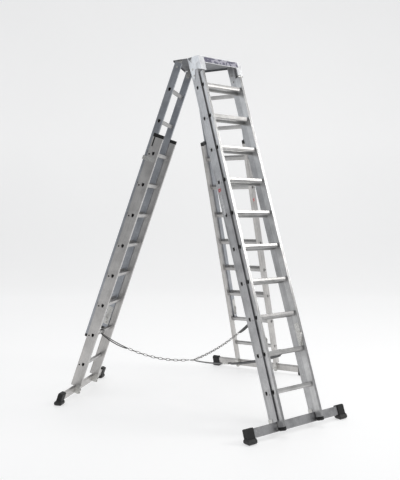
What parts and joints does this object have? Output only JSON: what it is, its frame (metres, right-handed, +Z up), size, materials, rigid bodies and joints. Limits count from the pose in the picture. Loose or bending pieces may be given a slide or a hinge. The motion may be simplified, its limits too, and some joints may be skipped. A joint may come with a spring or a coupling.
{
  "type": "three-legged extension ladder",
  "caption": "Free-standing aluminium ladder on three two-section legs joined under a sheet-metal head, with rubber-footed crossbars and a strap and chain tether",
  "frame": {"origin": "On the ground, under the middle of the whole ladder's bounding box", "axes": "+Z up; the climbing leg faces -Y with its rungs along X; +X is to the right of someone who faces the climbing leg"},
  "size_m": [2.4954, 2.4592, 2.951],
  "materials": {
    "stile": "ribbed extrusion, satin",
    "rung": "extruded, ribbed tread, satin",
    "bar": "extruded, satin",
    "head_sheet": "folded sheet, satin",
    "label": null,
    "grip": "moulded",
    "lug": "zinc plated",
    "hardware": "zinc plated",
    "foot": "moulded, ribbed",
    "cap": "moulded",
    "webbing": "woven polyester webbing",
    "webbing_light": "woven polyester webbing",
    "chain": "zinc plated wire",
    "buckle_metal": "pressed, zinc plated"
  },
  "bodies": {
    "head_and_climbing_leg": {"head_deck": "head_sheet", "head_yoke": "head_sheet", "head_label": "label", "deck_grip": "grip", "hinge_lugs": "lug", "hinge_pins": "hardware", "a_base_stile_left": "stile", "a_base_stile_right": "stile", "a_base_rungs": "rung", "a_crossbar": "bar", "a_bar_clips": "hardware", "a_bolts": "hardware", "a_feet": "foot", "a_strap": "webbing", "ring_strap": "webbing", "buckle": "buckle_metal", "centre_ring": "chain"},
    "a_fly": {"a_fly_stile_left": "stile", "a_fly_stile_right": "stile", "a_fly_rungs": "rung", "a_fly_caps": "cap", "a_fly_shoes": "hardware"},
    "a_hooks": {"a_rung_hooks": "hardware"},
    "lock_pin": {"lock_pin": "hardware"},
    "buckle_lever": {"buckle_lever": "buckle_metal"},
    "b_leg": {"b_fly_stile_left": "stile", "b_fly_stile_right": "stile", "b_fly_rungs": "rung", "b_fly_caps": "cap", "b_fly_shoes": "hardware"},
    "b_base": {"b_base_stile_left": "stile", "b_base_stile_right": "stile", "b_base_rungs": "rung", "b_base_caps": "cap", "b_guide_brackets": "hardware", "b_crossbar": "bar", "b_bar_clips": "hardware", "b_bolts": "hardware", "b_feet": "foot"},
    "b_hooks": {"b_rung_hooks": "hardware"},
    "b_tether": {"b_strap": "webbing_light", "b_chain": "chain"},
    "c_leg": {"c_fly_stile_left": "stile", "c_fly_stile_right": "stile", "c_fly_rungs": "rung", "c_fly_caps": "cap", "c_fly_shoes": "hardware"},
    "c_base": {"c_base_stile_left": "stile", "c_base_stile_right": "stile", "c_base_rungs": "rung", "c_base_caps": "cap", "c_guide_brackets": "hardware", "c_crossbar": "bar", "c_bar_clips": "hardware", "c_bolts": "hardware", "c_feet": "foot"},
    "c_hooks": {"c_rung_hooks": "hardware"},
    "c_tether": {"c_strap": "webbing_light", "c_chain": "chain"}
  },
  "joints": [
    {"name": "a_fly_slide", "type": "slide", "parent": "head_and_climbing_leg", "child": "a_fly", "axis": [0, 0.3322, 0.9432], "range_m": [0, 1.96]},
    {"name": "a_hooks_swing", "type": "hinge", "parent": "a_fly", "child": "a_hooks", "pos_m": [-0.07738, -1.00373, 0.61396], "axis": [1, 0, 0], "range_deg": [-120, 0]},
    {"name": "lock_pin_pull", "type": "slide", "parent": "head_and_climbing_leg", "child": "lock_pin", "axis": [1, 0, 0], "range_m": [0, 0.015]},
    {"name": "buckle_lever_swing", "type": "hinge", "parent": "head_and_climbing_leg", "child": "buckle_lever", "pos_m": [-0.12753, -0.37726, 0.37969], "axis": [-0.9964, -0.0853, 0], "range_deg": [0, 45]},
    {"name": "b_leg_fold", "type": "hinge", "parent": "head_and_climbing_leg", "child": "b_leg", "pos_m": [-0.20398, 0.12666, 2.87016], "axis": [-0.766, -0.6428, 0], "range_deg": [0, 8]},
    {"name": "b_base_slide", "type": "slide", "parent": "b_leg", "child": "b_base", "axis": [0.2135, -0.2544, 0.9432], "range_m": [-1.12, 0]},
    {"name": "b_hooks_swing", "type": "hinge", "parent": "b_leg", "child": "b_hooks", "pos_m": [-0.71598, 0.73683, 0.60831], "axis": [-0.766, -0.6428, 0], "range_deg": [-120, 0]},
    {"name": "b_tether_swing", "type": "hinge", "parent": "b_base", "child": "b_tether", "pos_m": [-0.69578, 0.71275, 0.55908], "axis": [-0.766, -0.6428, 0], "range_deg": [-24, 0]},
    {"name": "c_leg_fold", "type": "hinge", "parent": "head_and_climbing_leg", "child": "c_leg", "pos_m": [0.12066, 0.06189, 2.87016], "axis": [-0.3987, 0.9171, 0], "range_deg": [0, 8]},
    {"name": "c_base_slide", "type": "slide", "parent": "c_leg", "child": "c_base", "axis": [-0.3046, -0.1324, 0.9432], "range_m": [-1.12, 0]},
    {"name": "c_hooks_swing", "type": "hinge", "parent": "c_leg", "child": "c_hooks", "pos_m": [0.85112, 0.3795, 0.60831], "axis": [-0.3987, 0.9171, 0], "range_deg": [-120, 0]},
    {"name": "c_tether_swing", "type": "hinge", "parent": "c_base", "child": "c_tether", "pos_m": [0.82229, 0.36697, 0.55908], "axis": [-0.3987, 0.9171, 0], "range_deg": [-16, 0]}
  ],
  "couplings": [
    {"joint": "b_tether_swing", "follows": "b_leg_fold", "ratio": -3},
    {"joint": "c_tether_swing", "follows": "c_leg_fold", "ratio": -2}
  ]
}
